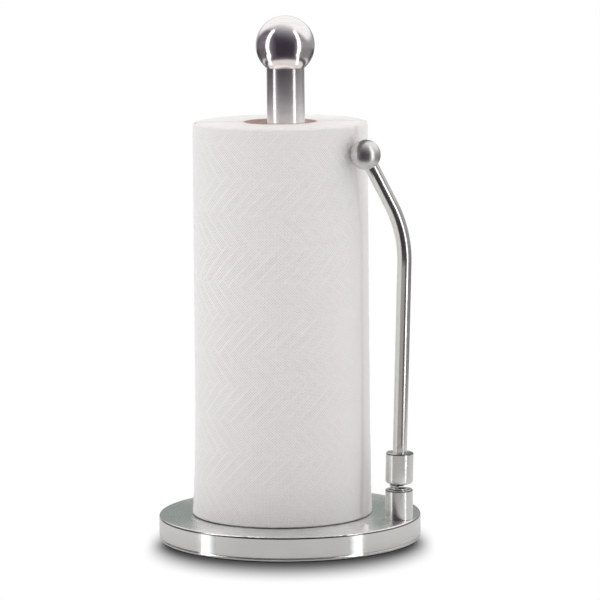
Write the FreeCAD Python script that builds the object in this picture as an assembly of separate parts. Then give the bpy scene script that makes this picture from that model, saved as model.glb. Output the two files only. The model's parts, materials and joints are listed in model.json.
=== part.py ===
import FreeCAD, Part
import math
import os

# Upright paper towel holder: a weighted round base, a post with a ball finial, and a tension arm
# that a close-wound coil spring presses lightly against a loose roll of paper towel.
# Millimetres, +Z up. The origin is the centre of the underside, and +X points from the post to the
# foot of the tension arm. Angles are in degrees from +X, anticlockwise seen from above.

# ---- roll that the holder is made for; the post, the arm and the base are placed round it ----
ROLL_D = 118.6
ROLL_H = 266.5
ROLL_EDGE_R = 3.2             # soft rounding of the wound edges
CORE_BORE = 48.8
CORE_WALL = 0.8
CORE_TO_PAPER = 0.05          # radial running clearance
ROLL_SEAT_GAP = 0.3           # roll to the base's top face
LIFT_SPACE = 0.45             # core to finial, radially, when the loose roll is lifted off
TIP_GAP = 0.3                 # tip ball to paper
TIP_DROP = 19.7               # roll's top to the middle of the tip ball, while the arm is upright
FINIAL_RISE = 51.2            # roll's top to the middle of the finial
FERRULE_TO_PAPER = 14.0
FERRULE_TO_EDGE = 1.1         # ferrule to the edge of the base

# ---- base ----
BASE_H = 16.8                 # table to the top face
SHEET = 0.9                   # cover sheet thickness
BASE_EDGE_R = 1.3             # rounding of the cover's top edge
GROOVE_Z = 2.9                # table to the foot of the smooth side wall
GROOVE_DEPTH = 0.6            # groove rolled in above the hem
HEM_BULGE = 0.48              # hem's round edge, out from the groove's floor
HEM_LIFT = 0.5                # hem's height above the table
HEM_LIP = 4.0                 # how far the hem is folded in under the closing plate
PAD_T = 1.5                   # rubber pad
PAD_INSET = 7.0               # pad edge to cover edge
PLATE_T = 1.0                 # closing plate
WEIGHT_GAP = 0.3              # weight to the cover's wall
WEIGHT_HUB_D = 44.0           # full-height middle of the weight
WEIGHT_RIM_W = 24.0           # full-height rim of the weight, radially
WEIGHT_RECESS = 6.0           # depth of the ring cast out of its underside

# ---- post ----
POST_D = 25.4
POST_WALL = 1.2
POST_FOOT_PLUG_L = 24.0
POST_HEAD_PLUG_L = 18.0
FINIAL_D = 39.7
FINIAL_STUD_BITE = 14.0       # stud in the ball
POST_BOLT_D = 8.0
POST_BOLT_BITE = 16.0         # bolt in the foot plug

# ---- tension arm ----
FERRULE_D = 18.6
LOWER_FERRULE_H = 20.2
UPPER_FERRULE_H = 21.0
FERRULE_GAP = 4.2             # the stretch of spring that shows
LOWER_FLOOR = 8.0             # solid foot of the lower ferrule
LOWER_EDGE = 0.5              # its chamfer
UPPER_ROUND = 2.0             # rounding of the upper ferrule's lower rim, where its wall allows
UPPER_ROUND_SHARE = 0.8       # the most of that wall that the rounding may take
UPPER_TOP_ROUND = 0.9
UPPER_WEB = 2.6               # web between the spring's bore and the tube's socket
TUBE_SOCKET = 6.5             # tube in the upper ferrule
ARM_D = 9.5
ARM_WALL = 1.0
ARM_REACH = 59.6              # corner of the tube's centre line to the centre of the tip ball
ARM_BEND = 28.9               # how far the upper run leans from the lower one
ARM_BEND_R = 80.0             # centre-line radius of the bend
ARM_BEND_AZIMUTH = 215.9      # the way the upper run leans
ARM_PUSH_AZIMUTH = -15.6      # the way the roll pushes the arm out
TIP_BALL_D = 20.2
TIP_SOCKET = 9.0              # tube in the ball, from the ball's skin
ARM_BOLT_D = 5.0
ARM_BOLT_BITE = 7.0           # bolt in the lower spring anchor
ARM_STUD_D = 4.0
ARM_STUD_BITE = 5.0           # foot plug's stud in the upper spring anchor
ARM_PLUG_L = 16.0

# ---- spring ----
WIRE_D = 1.8
SPRING_OD = 12.6
COIL_SPACE = 0.06             # between neighbouring turns
SPRING_END_SPACE = 0.2        # between the end turns and their seats
SPRING_SIDE_SPACE = 0.10      # to the bores and the anchors, beyond what the lean needs
ANCHOR_FLANGE_T = 2.0
ANCHOR_SETBACK = 0.8          # anchor's end to the ferrule's open face

# ---- fasteners ----
BOLT_CLEARANCE = 0.25         # radial, in clearance holes
HEAD_H_RATIO = 0.65           # hexagon head's height to the bolt's diameter
HEAD_FLATS_RATIO = 1.6        # across the head's flats to the bolt's diameter
HEAD_CHAMFER_RATIO = 0.9      # head's chamfered end to its corners
POINT_RATIO = 0.12            # bolt's chamfered point to its diameter
WASHER_RATIO = 2.2            # washer's diameter to the bolt's
WASHER_T = 1.6
HEAD_SPACE = 1.2              # closing plate to the bolt heads
POCKET_SPACE = 1.0            # round a washer, radially
BLIND_END = 1.0               # hole left past a bolt's or stud's end

V = FreeCAD.Vector
UP = V(0, 0, 1)


def turned(outline):
    """Solid turned about Z. outline is closed, in (radius, height) points; an entry of four numbers
    is an arc that passes the first point and ends at the second."""
    def point(radius, height):
        return V(radius, 0, height)

    edges = []
    start = last = point(*outline[0][-2:])
    for entry in outline[1:]:
        end = point(*entry[-2:])
        if len(entry) == 4:
            edges.append(Part.Arc(last, point(*entry[:2]), end).toShape())
        else:
            edges.append(Part.makeLine(last, end))
        last = end
    edges.append(Part.makeLine(last, start))
    return Part.Face(Part.Wire(edges)).revolve(V(0, 0, 0), UP, 360)


def corner_arc(centre_r, centre_z, radius, first, last):
    """Arc entry for turned(), about a centre, between two directions in degrees in the (r, z) plane."""
    middle = math.radians((first + last) / 2)
    end = math.radians(last)
    return (
        centre_r + radius * math.cos(middle), centre_z + radius * math.sin(middle),
        centre_r + radius * math.cos(end), centre_z + radius * math.sin(end),
    )


def rod(diameter, bottom, top, x=0.0):
    """Plain upright cylinder between two heights."""
    return Part.makeCylinder(diameter / 2, top - bottom, V(x, 0, bottom))


def flat_direction(azimuth):
    """Level unit vector."""
    return V(math.cos(math.radians(azimuth)), math.sin(math.radians(azimuth)), 0)


def hex_bolt(diameter, seat, end, x=0.0):
    """Hexagon-head bolt pointing up: head below the height seat, plain shank up to the height end."""
    head_h = HEAD_H_RATIO * diameter
    corner_r = HEAD_FLATS_RATIO * diameter / math.sqrt(3)
    corners = [V(x, 0, seat - head_h) + flat_direction(60 * i) * corner_r for i in range(7)]
    head = Part.Face(Part.makePolygon(corners)).extrude(UP * head_h)
    end_r = HEAD_CHAMFER_RATIO * corner_r
    chamfer_cone = Part.makeCone(end_r, end_r + head_h, head_h, V(x, 0, seat - head_h))
    point = POINT_RATIO * diameter
    tip = Part.makeCone(diameter / 2, diameter / 2 - point, point, V(x, 0, end - point))
    return head.common(chamfer_cone).fuse([rod(diameter, seat, end - point, x), tip]).removeSplitter()


def washer(bolt_d, top, x=0.0):
    """Flat washer under a bolt's head."""
    ring = rod(WASHER_RATIO * bolt_d, top - WASHER_T, top, x)
    return ring.cut(rod(bolt_d + 2 * BOLT_CLEARANCE, top - WASHER_T, top, x))


# ---- heights and radii that follow from the sizes above ----
roll_bottom = BASE_H + ROLL_SEAT_GAP
roll_top = roll_bottom + ROLL_H
roll_offset = (CORE_BORE - FINIAL_D) / 2 - LIFT_SPACE
roll_axis = V(-roll_offset, 0, 0)
arm_radius = ROLL_D / 2 - roll_offset + FERRULE_TO_PAPER + FERRULE_D / 2
base_r = arm_radius + FERRULE_D / 2 + FERRULE_TO_EDGE
plate_top = PAD_T + PLATE_T
cover_ceiling = BASE_H - SHEET
groove_r = base_r - GROOVE_DEPTH
hem_wall_r = groove_r - SHEET
bolt_seat = plate_top + HEAD_SPACE + HEAD_H_RATIO * max(POST_BOLT_D, ARM_BOLT_D)
pocket_top = bolt_seat + WASHER_T
post_bore = POST_D - 2 * POST_WALL
finial_z = roll_top + FINIAL_RISE
post_top = finial_z - math.sqrt(FINIAL_D ** 2 - POST_D ** 2) / 2
pivot = V(arm_radius, 0, BASE_H + LOWER_FERRULE_H + FERRULE_GAP / 2)
arm_straight = roll_top - TIP_DROP - ARM_REACH * math.cos(math.radians(ARM_BEND)) - pivot.z
lower_rim = pivot.z - FERRULE_GAP / 2
upper_rim = pivot.z + FERRULE_GAP / 2
upper_end = upper_rim + UPPER_FERRULE_H
anchor_floor = BASE_H + LOWER_FLOOR
tube_seat = upper_end - TUBE_SOCKET
anchor_ceiling = tube_seat - UPPER_WEB


def arm_lean():
    """How far the fitted roll pushes the arm from upright, so that the tip ball rests on the paper."""
    push = flat_direction(ARM_PUSH_AZIMUTH)
    side = UP.cross(push)
    bend = math.radians(ARM_BEND)
    reach = flat_direction(ARM_BEND_AZIMUTH) * (ARM_REACH * math.sin(bend))
    height = arm_straight + ARM_REACH * math.cos(bend)
    roll_centre = roll_axis - V(pivot.x, pivot.y, 0)
    centre_distance = (ROLL_D + TIP_BALL_D) / 2 + TIP_GAP
    sideways = (reach - roll_centre).dot(side)
    outward = roll_centre.dot(push) + math.sqrt(centre_distance ** 2 - sideways ** 2)
    inward = reach.dot(push)
    return math.degrees(math.asin(outward / math.hypot(inward, height)) - math.atan2(inward, height))


lean = arm_lean()
lean_axis = UP.cross(flat_direction(ARM_PUSH_AZIMUTH))
spring_bottom = anchor_floor + ANCHOR_FLANGE_T + SPRING_END_SPACE
spring_top = anchor_ceiling - ANCHOR_FLANGE_T - SPRING_END_SPACE
spring_half = max(pivot.z - spring_bottom, spring_top - pivot.z)
spring_sway = spring_half * abs(math.sin(math.radians(lean / 2)))
spring_space = SPRING_SIDE_SPACE + spring_sway
spring_bore_r = SPRING_OD / 2 + spring_space
anchor_r = SPRING_OD / 2 - WIRE_D - spring_space
upper_round = min(UPPER_ROUND, UPPER_ROUND_SHARE * (FERRULE_D / 2 - spring_bore_r))


def leaned(shape, share=1.0):
    """A piece of the arm, modelled upright over the pivot, leaned out with the arm."""
    moved = shape.copy()
    moved.rotate(pivot, lean_axis, lean * share)
    return moved


# ---- base ----
def base_cover():
    """Drawn stainless cap, with a groove and a hem rolled round its lower edge."""
    groove_foot = GROOVE_Z - GROOVE_DEPTH
    bead_z = (groove_foot + HEM_LIFT) / 2
    lip_r = base_r - HEM_LIP
    shell = turned([
        (0, BASE_H),
        (base_r - BASE_EDGE_R, BASE_H),
        corner_arc(base_r - BASE_EDGE_R, BASE_H - BASE_EDGE_R, BASE_EDGE_R, 90, 0),
        (base_r, GROOVE_Z),
        (groove_r, groove_foot),
        (groove_r + HEM_BULGE, bead_z, groove_r, HEM_LIFT),
        (lip_r, HEM_LIFT),
        (lip_r, PAD_T),
        (hem_wall_r, PAD_T),
        (hem_wall_r, groove_foot),
        (base_r - SHEET, GROOVE_Z),
        (base_r - SHEET, cover_ceiling),
        (0, cover_ceiling),
    ])
    post_hole = rod(POST_BOLT_D + 2 * BOLT_CLEARANCE, cover_ceiling, BASE_H)
    arm_hole = rod(ARM_BOLT_D + 2 * BOLT_CLEARANCE, cover_ceiling, BASE_H, arm_radius)
    return shell.cut([post_hole, arm_hole])


def base_weight():
    """Cast iron disc, with a hub and a rim of full height and a pocket for each bolt."""
    outer_r = hem_wall_r - WEIGHT_GAP
    disc = rod(2 * outer_r, plate_top, cover_ceiling)
    recess = rod(2 * (outer_r - WEIGHT_RIM_W), plate_top, plate_top + WEIGHT_RECESS).cut(
        rod(WEIGHT_HUB_D, plate_top, plate_top + WEIGHT_RECESS))
    cuts = [recess]
    for bolt_d, x in ((POST_BOLT_D, 0.0), (ARM_BOLT_D, arm_radius)):
        cuts.append(rod(WASHER_RATIO * bolt_d + 2 * POCKET_SPACE, plate_top, pocket_top, x))
        cuts.append(rod(bolt_d + 2 * BOLT_CLEARANCE, pocket_top, cover_ceiling, x))
    return disc.cut(cuts)


def base_plate():
    """Thin steel disc that closes the base, held by the hem."""
    return rod(2 * (hem_wall_r - WEIGHT_GAP), PAD_T, plate_top)


def base_pad():
    """Rubber pad glued under the plate; the holder stands on it."""
    return rod(2 * (base_r - PAD_INSET), 0, PAD_T)


# ---- post ----
def post_tube():
    return rod(POST_D, BASE_H, post_top).cut(rod(post_bore, BASE_H, post_top))


def post_foot_plug():
    """Plug pressed into the foot of the post, tapped for the bolt."""
    plug = rod(post_bore, BASE_H, BASE_H + POST_FOOT_PLUG_L)
    return plug.cut(rod(POST_BOLT_D, BASE_H, BASE_H + POST_BOLT_BITE + BLIND_END))


def post_head_plug():
    """Plug pressed into the head of the post, tapped for the finial's stud."""
    plug = rod(post_bore, post_top - POST_HEAD_PLUG_L, post_top)
    return plug.cut(rod(POST_BOLT_D, post_top - POST_HEAD_PLUG_L, post_top))


def finial_stud():
    return rod(POST_BOLT_D, post_top - POST_HEAD_PLUG_L, post_top + FINIAL_STUD_BITE)


def finial_ball():
    """Ball with a flat that matches the post's top, tapped for the stud."""
    ball = Part.makeSphere(FINIAL_D / 2, V(0, 0, finial_z))
    below = rod(2 * FINIAL_D, finial_z - FINIAL_D, post_top)
    return ball.cut([below, rod(POST_BOLT_D, post_top, post_top + FINIAL_STUD_BITE + BLIND_END)])


# ---- tension arm ----
def lower_ferrule():
    """Turned sleeve bolted to the base, bored from above for the spring."""
    r = FERRULE_D / 2
    sleeve = turned([
        (0, BASE_H),
        (r - LOWER_EDGE / 2, BASE_H),
        (r, BASE_H + LOWER_EDGE / 2),
        (r, lower_rim - LOWER_EDGE),
        (r - LOWER_EDGE, lower_rim),
        (spring_bore_r + LOWER_EDGE, lower_rim),
        (spring_bore_r, lower_rim - LOWER_EDGE),
        (spring_bore_r, anchor_floor),
        (0, anchor_floor),
    ])
    sleeve.translate(V(arm_radius, 0, 0))
    return sleeve.cut(rod(ARM_BOLT_D + 2 * BOLT_CLEARANCE, BASE_H, anchor_floor, arm_radius))


def lower_spring_anchor():
    """Flanged plug inside the spring's lower turns, tapped for the arm's bolt."""
    anchor = rod(SPRING_OD, anchor_floor, anchor_floor + ANCHOR_FLANGE_T, arm_radius).fuse(
        rod(2 * anchor_r, anchor_floor, lower_rim - ANCHOR_SETBACK, arm_radius))
    tapped = rod(ARM_BOLT_D, anchor_floor, anchor_floor + ARM_BOLT_BITE + BLIND_END, arm_radius)
    return anchor.cut(tapped)


def tension_spring():
    """Close-wound coil. It takes half of the arm's lean, turning about the middle of the gap."""
    coil_r = (SPRING_OD - WIRE_D) / 2
    pitch = WIRE_D + COIL_SPACE
    height = spring_top - spring_bottom - WIRE_D
    centre_line = Part.makeHelix(pitch, height, coil_r)
    section = Part.Wire(Part.Circle(V(coil_r, 0, 0), V(0, 1, 0), WIRE_D / 2).toShape())
    coil = Part.Wire(centre_line.Edges).makePipeShell([section], True, True)
    coil.translate(V(arm_radius, 0, spring_bottom + WIRE_D / 2))
    return leaned(coil, 0.5)


def upper_spring_anchor():
    """Flanged plug inside the spring's upper turns, tapped for the foot plug's stud."""
    anchor = rod(SPRING_OD, anchor_ceiling - ANCHOR_FLANGE_T, anchor_ceiling, arm_radius).fuse(
        rod(2 * anchor_r, upper_rim + ANCHOR_SETBACK, anchor_ceiling, arm_radius))
    tapped = rod(ARM_STUD_D, anchor_ceiling - ARM_STUD_BITE - BLIND_END, anchor_ceiling, arm_radius)
    return leaned(anchor.cut(tapped))


def upper_ferrule():
    """Turned sleeve on the arm: spring's bore below, tube's socket above, a web between."""
    r = FERRULE_D / 2
    sleeve = turned([
        (0, anchor_ceiling),
        (spring_bore_r, anchor_ceiling),
        (spring_bore_r, upper_rim),
        (r - upper_round, upper_rim),
        corner_arc(r - upper_round, upper_rim + upper_round, upper_round, -90, 0),
        (r, upper_end - UPPER_TOP_ROUND),
        corner_arc(r - UPPER_TOP_ROUND, upper_end - UPPER_TOP_ROUND, UPPER_TOP_ROUND, 0, 90),
        (ARM_D / 2, upper_end),
        (ARM_D / 2, tube_seat),
        (0, tube_seat),
    ])
    sleeve.translate(V(arm_radius, 0, 0))
    web_hole = rod(ARM_STUD_D + 2 * BOLT_CLEARANCE, anchor_ceiling, tube_seat, arm_radius)
    return leaned(sleeve.cut(web_hole))


def arm_foot_plug():
    """Plug pressed into the tube's foot; its stud pulls the tube and the spring's anchor together."""
    plug = rod(ARM_D - 2 * ARM_WALL, tube_seat, tube_seat + ARM_PLUG_L, arm_radius)
    return leaned(plug.fuse(rod(ARM_STUD_D, anchor_ceiling - ARM_STUD_BITE, tube_seat, arm_radius)))


def arm_corner():
    """Corner of the upright arm's centre line, and the direction of its upper run."""
    corner = pivot + UP * arm_straight
    bend = math.radians(ARM_BEND)
    run = UP * math.cos(bend) + flat_direction(ARM_BEND_AZIMUTH) * math.sin(bend)
    return corner, run


def arm_tube():
    """Steel tube with one drawn bend, from the upper ferrule into the tip ball."""
    corner, run = arm_corner()
    tangent = ARM_BEND_R * math.tan(math.radians(ARM_BEND) / 2)
    sag = ARM_BEND_R * (1 / math.cos(math.radians(ARM_BEND) / 2) - 1)
    foot = V(arm_radius, 0, tube_seat)
    arc_start = corner - UP * tangent
    arc_end = corner + run * tangent
    arc_middle = corner + (run - UP).normalize() * sag
    tube_end = corner + run * (ARM_REACH - TIP_BALL_D / 2 + TIP_SOCKET)
    path = Part.Wire([
        Part.makeLine(foot, arc_start),
        Part.Arc(arc_start, arc_middle, arc_end).toShape(),
        Part.makeLine(arc_end, tube_end),
    ])

    def along(diameter):
        section = Part.Wire(Part.Circle(foot, UP, diameter / 2).toShape())
        return path.makePipeShell([section], True, True)

    return leaned(along(ARM_D).cut(along(ARM_D - 2 * ARM_WALL)))


def tip_ball():
    """Solid ball at the end of the arm, with a blind socket for the tube."""
    corner, run = arm_corner()
    centre = corner + run * ARM_REACH
    mouth = centre - run * TIP_BALL_D
    socket = Part.makeCylinder(ARM_D / 2, TIP_BALL_D / 2 + TIP_SOCKET, mouth, run)
    return leaned(Part.makeSphere(TIP_BALL_D / 2, centre).cut(socket))


# ---- roll ----
def cardboard_core():
    core = rod(CORE_BORE + 2 * CORE_WALL, roll_bottom, roll_top).cut(
        rod(CORE_BORE, roll_bottom, roll_top))
    core.translate(roll_axis)
    return core


def paper_roll():
    """The wound paper as one ring with soft outer edges."""
    inner = CORE_BORE / 2 + CORE_WALL + CORE_TO_PAPER
    outer = ROLL_D / 2
    r = ROLL_EDGE_R
    paper = turned([
        (inner, roll_bottom),
        (outer - r, roll_bottom),
        corner_arc(outer - r, roll_bottom + r, r, -90, 0),
        (outer, roll_top - r),
        corner_arc(outer - r, roll_top - r, r, 0, 90),
        (inner, roll_top),
    ])
    paper.translate(roll_axis)
    return paper


PIECES = {
    "base_cover": base_cover,
    "base_weight": base_weight,
    "base_plate": base_plate,
    "base_pad": base_pad,
    "post_tube": post_tube,
    "post_foot_plug": post_foot_plug,
    "post_bolt": lambda: hex_bolt(POST_BOLT_D, bolt_seat, BASE_H + POST_BOLT_BITE),
    "post_washer": lambda: washer(POST_BOLT_D, pocket_top),
    "post_head_plug": post_head_plug,
    "finial_stud": finial_stud,
    "finial_ball": finial_ball,
    "lower_ferrule": lower_ferrule,
    "arm_bolt": lambda: hex_bolt(ARM_BOLT_D, bolt_seat, anchor_floor + ARM_BOLT_BITE, arm_radius),
    "arm_washer": lambda: washer(ARM_BOLT_D, pocket_top, arm_radius),
    "lower_spring_anchor": lower_spring_anchor,
    "tension_spring": tension_spring,
    "upper_spring_anchor": upper_spring_anchor,
    "upper_ferrule": upper_ferrule,
    "arm_foot_plug": arm_foot_plug,
    "arm_tube": arm_tube,
    "tip_ball": tip_ball,
    "cardboard_core": cardboard_core,
    "paper_roll": paper_roll,
}

os.makedirs("parts", exist_ok=True)
for name, make in PIECES.items():
    shape = make()
    shape.exportStep("parts/" + name + ".step")
    print(f"{name:20s} solids {len(shape.Solids)}  volume {shape.Volume:10.1f}  valid {shape.isValid()}")

print(f"arm leans {lean:.2f} degrees; pivot {tuple(round(c, 2) for c in pivot)}")
print(f"lean axis {tuple(round(c, 4) for c in lean_axis)}")
print(f"base diameter {2 * base_r:.2f}, overall height {finial_z + FINIAL_D / 2:.2f}")
print(f"lift that clears the finial: {finial_z + FINIAL_D / 2 - roll_bottom:.1f}")
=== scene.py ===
import json
from math import cos, hypot, pi, radians, sin, sqrt

import bpy
import numpy as np
from mathutils import Matrix, Vector


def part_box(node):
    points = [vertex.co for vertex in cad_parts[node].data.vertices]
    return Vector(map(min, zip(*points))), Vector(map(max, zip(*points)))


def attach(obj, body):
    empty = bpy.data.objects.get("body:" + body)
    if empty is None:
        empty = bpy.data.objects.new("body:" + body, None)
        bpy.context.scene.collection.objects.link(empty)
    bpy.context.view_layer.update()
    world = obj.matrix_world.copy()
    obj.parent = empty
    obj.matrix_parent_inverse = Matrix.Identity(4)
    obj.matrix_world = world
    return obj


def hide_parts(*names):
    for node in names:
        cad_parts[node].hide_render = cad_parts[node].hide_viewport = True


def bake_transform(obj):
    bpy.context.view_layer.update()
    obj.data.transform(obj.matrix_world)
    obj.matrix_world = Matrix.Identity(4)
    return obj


# Looks of an upright paper towel holder: brushed stainless base, post, ball finial and tension arm,
# a coil spring at the arm's foot, and a roll of quilted paper on a cardboard core. Metres, +Z up.

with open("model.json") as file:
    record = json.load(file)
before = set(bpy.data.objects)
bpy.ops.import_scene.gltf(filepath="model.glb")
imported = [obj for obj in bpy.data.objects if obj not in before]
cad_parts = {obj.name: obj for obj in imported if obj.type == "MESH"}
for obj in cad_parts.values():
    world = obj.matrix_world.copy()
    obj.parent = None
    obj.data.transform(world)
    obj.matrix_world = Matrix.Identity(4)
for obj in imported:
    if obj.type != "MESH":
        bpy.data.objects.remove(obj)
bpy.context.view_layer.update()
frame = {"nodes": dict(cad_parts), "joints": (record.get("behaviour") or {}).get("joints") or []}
scene = bpy.context.scene
MM = 0.001
TURN = 2 * pi

WHITE = (1.0, 1.0, 1.0)
BLACK = (0.0, 0.0, 0.0)
FLOAT = "NodeSocketFloat"
VECTOR = "NodeSocketVector"
GEOMETRY = "NodeSocketGeometry"
MATERIAL = "NodeSocketMaterial"

# ---- sizes of the roll's own make-up ----
PLY = 0.40 * MM               # one quilted sheet
LAYER = 0.45 * MM             # radius that one more turn adds
SHEET_LENGTH = 152.4 * MM     # between perforations
RIM_ROUND = 2.4 * MM          # soft rounding of the wound edge at the top
FOOT_ROUND = 0.9 * MM         # and at the foot, which stands pressed on the base
RIM_REACH = radians(55)       # how far round that rounding the outer sheets reach
TAPER = 0.6 * MM              # the roll is wound a little looser towards its foot
FLARE = 1.6 * MM              # and its foot flares
FLARE_HEIGHT = 80.0 * MM
SAG = 0.5                     # share of that looseness by which the turns lie over to one side
DOTS = 1.84 * MM              # pitch of the pressed dots, round the roll and up it
BAR = 5 * DOTS / sqrt(2)      # width of a dotted bar with the plain channel beside it
BAR_LENGTH = 5                # bars in the length of one
CHANNEL = 1.15 * MM
GRID = 0.76 * MM              # of the sheets' meshes, which carry the bars and channels
DOT_DEPTH = 0.26 * MM         # the dots themselves are relief in the paper's finish
FIBRE_DEPTH = 0.05 * MM
CUSHION = 0.07 * MM           # how far the plain channels puff up
TAIL_SIDE = radians(-4.4)     # the side of the roll where the free edge lies
TAIL_TUCK = 0.35 * MM         # the free edge is pressed down
TAIL_REACH = 5.0 * MM         # over this much of the sheet
UNDER_SWELL = 0.2 * MM        # the turn below swells beside the free edge
UNDER_SHEETS = 0.85 * MM      # room that the outer sheets' own waviness needs above the turns below
CORE_SEAM_PITCH = 74.0 * MM
CORE_WALL = 0.8 * MM
CORE_CLEARANCE = 0.05 * MM    # the core turns in the wound paper
EDGE_SHADE = 5.5 * MM         # how far the painted shade beside the free edge reaches
SHADE_HEIGHT = 120.0 * MM     # it weakens up to this height
SHEET_WAVE = 0.6 * MM         # the outer sheets' own waviness
WANDER = 2.0 * MM             # how far their torn edges wander sideways
PINCH = 8.0 * MM              # the tip ball holds the free edge back by this much
PINCH_REACH = 60.0 * MM
FOOT_DRAW = 4.0 * MM          # and the edge is drawn back again towards its foot
FOOT_REACH = 70.0 * MM
SLIP_REACH = 60.0 * MM        # only this much paper at a free end goes sideways
OVERLAP = 14.0 * MM           # the outer turn's end runs on under its free edge
TORN_GAP = 0.1 * MM           # between sheets at a perforation
WOUND_WAVE = 0.5 * MM         # unevenness of the paper's edges at both ends of the roll
WOUND_EDGE = 0.26 * MM        # half the width of one of those edges
MEAN_DOT = 0.24               # the dots' mean share of a bar; the plain channels get the same painted shade

# ---- places that follow from the imported model ----
def radius_of(node):
    low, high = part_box(node)
    return (high.x - low.x) / 2


tilt = next(joint for joint in frame["joints"] if joint["name"] == "arm_tilt")
pivot = Vector(tilt["pos_m"])
lean = -tilt["springref"]
lean_axis = Vector(tilt["axis"])
roll_low, roll_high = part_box("paper_roll")
core_low, core_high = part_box("cardboard_core")
roll_axis = (core_low + core_high) / 2
roll_r = (roll_high.y - roll_low.y) / 2
core_r = radius_of("cardboard_core")
tip_low, tip_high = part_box("tip_ball")
tip_centre = (tip_low + tip_high) / 2


# ---- wiring ----

class Graph:
    """Short hand for wiring a node tree. A value may be another node's socket or a plain constant."""

    def __init__(self, tree):
        self.tree = tree

    def feed(self, socket, value):
        """Links a socket to another one or gives it a constant. A plain colour is three numbers."""
        if isinstance(value, bpy.types.NodeSocket):
            self.tree.links.new(value, socket)
        elif socket.type == "RGBA":
            socket.default_value = (*value, 1.0)
        else:
            socket.default_value = value

    def add(self, kind, inputs=None, **settings):
        node = self.tree.nodes.new(kind)
        for name, value in settings.items():
            setattr(node, name, value)
        for key, value in (inputs or {}).items():
            self.feed(node.inputs[key], value)
        return node

    def place(self):
        """Where a point of the surface lies in the object's own frame."""
        return self.add("ShaderNodeTexCoord").outputs["Object"]

    def maths(self, operation, *values, clamp=False):
        inputs = dict(enumerate(values))
        return self.add("ShaderNodeMath", inputs, operation=operation, use_clamp=clamp).outputs[0]

    def plus(self, first, second):
        return self.maths("ADD", first, second)

    def minus(self, first, second):
        return self.maths("SUBTRACT", first, second)

    def times(self, first, second):
        return self.maths("MULTIPLY", first, second)

    def over(self, first, second):
        return self.maths("DIVIDE", first, second)

    def size(self, value):
        return self.maths("ABSOLUTE", value)

    def vectors(self, operation, *values, output=0):
        node = self.add("ShaderNodeVectorMath", dict(enumerate(values)), operation=operation)
        return node.outputs[output]

    def dot(self, first, second):
        """How far the first vector reaches along the second, which is a plain direction."""
        return self.vectors("DOT_PRODUCT", first, tuple(second), output=1)

    def parts(self, vector):
        return self.add("ShaderNodeSeparateXYZ", {0: vector}).outputs

    def vector(self, x, y, z):
        return self.add("ShaderNodeCombineXYZ", {0: x, 1: y, 2: z}).outputs[0]

    def span(self, value, out_low, out_high, low=0.0, high=1.0, way="LINEAR"):
        """value's way from low to high as a straight way from out_low to out_high."""
        return self.add("ShaderNodeMapRange", {
            "Value": value, "From Min": low, "From Max": high, "To Min": out_low, "To Max": out_high,
        }, interpolation_type=way).outputs["Result"]

    def ease(self, value, low, high, out_low=0.0, out_high=1.0):
        """The same, eased at both ends."""
        return self.span(value, out_low, out_high, low, high, "SMOOTHSTEP")

    def noise(self, vector, scale, detail=2.0, roughness=0.5, w=None):
        inputs = {"Vector": vector, "Scale": scale, "Detail": detail, "Roughness": roughness}
        if w is not None:
            inputs["W"] = w
        dimensions = "3D" if w is None else "4D"
        return self.add("ShaderNodeTexNoise", inputs, noise_dimensions=dimensions).outputs[0]

    def mix_colour(self, share, first, second):
        return self.add("ShaderNodeMix", {0: share, 6: first, 7: second}, data_type="RGBA").outputs[2]

    def dress(self, shader, colour, roughness, height, depth, strength=1.0):
        """Gives a shader its colour, its roughness and bumps whose height, from 0 to 1, stands for depth."""
        bump = self.add("ShaderNodeBump", {"Height": height, "Strength": strength, "Distance": depth})
        self.feed(shader.inputs["Base Color"], colour)
        self.feed(shader.inputs["Roughness"], roughness)
        self.feed(shader.inputs["Normal"], bump.outputs[0])


def floats(*labels):
    return dict.fromkeys(labels, FLOAT)


def group(name, kind, inputs, outputs):
    """A new node group with its sockets, its wiring helper, and its input and output nodes' sockets."""
    tree = bpy.data.node_groups.new(name, kind)
    for in_out, sockets in (("INPUT", inputs), ("OUTPUT", outputs)):
        for label, socket_type in sockets.items():
            tree.interface.new_socket(label, in_out=in_out, socket_type=socket_type)
    graph = Graph(tree)
    given = graph.add("NodeGroupInput").outputs
    result = graph.add("NodeGroupOutput").inputs
    return tree, graph, given, result


# ---- shared surface effects ----

def turning_lines():
    """Fine lines left by a brush held against a turning piece: they run round the Z axis."""
    tree, g, given, result = group(
        "turning_lines", "ShaderNodeTree",
        {"Position": VECTOR, **floats("Line Pitch", "Arc Share")}, floats("Lines", "Clouds"),
    )
    x, y, z = g.parts(given["Position"])
    radius = g.maths("SQRT", g.plus(g.times(x, x), g.times(y, y)))
    safe = g.maths("MAXIMUM", radius, 0.0005)
    across = g.over(radius, given["Line Pitch"])
    up = g.over(z, given["Line Pitch"])
    along_x = g.times(g.over(x, safe), given["Arc Share"])
    along_y = g.times(g.over(y, safe), given["Arc Share"])
    lines = g.noise(g.vector(across, up, along_x), 1.0, 3.0, 0.65, w=along_y)
    clouds = g.noise(given["Position"], 38.0, 2.0, 0.5)
    g.feed(result["Lines"], lines)
    g.feed(result["Clouds"], clouds)
    return tree


def paper_fibres():
    """Loose fibres and fine crepe of soft tissue."""
    tree, g, given, result = group(
        "paper_fibres", "ShaderNodeTree",
        {"Position": VECTOR, "Fibre Size": FLOAT}, floats("Height", "Specks"),
    )
    scale = g.over(1.0, given["Fibre Size"])
    crepe = g.noise(g.vectors("MULTIPLY", given["Position"], (1.0, 1.0, 2.6)), scale, 4.0, 0.6)
    specks = g.noise(given["Position"], g.times(scale, 0.12), 3.0, 0.6)
    g.feed(result["Height"], crepe)
    g.feed(result["Specks"], specks)
    return tree


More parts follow.
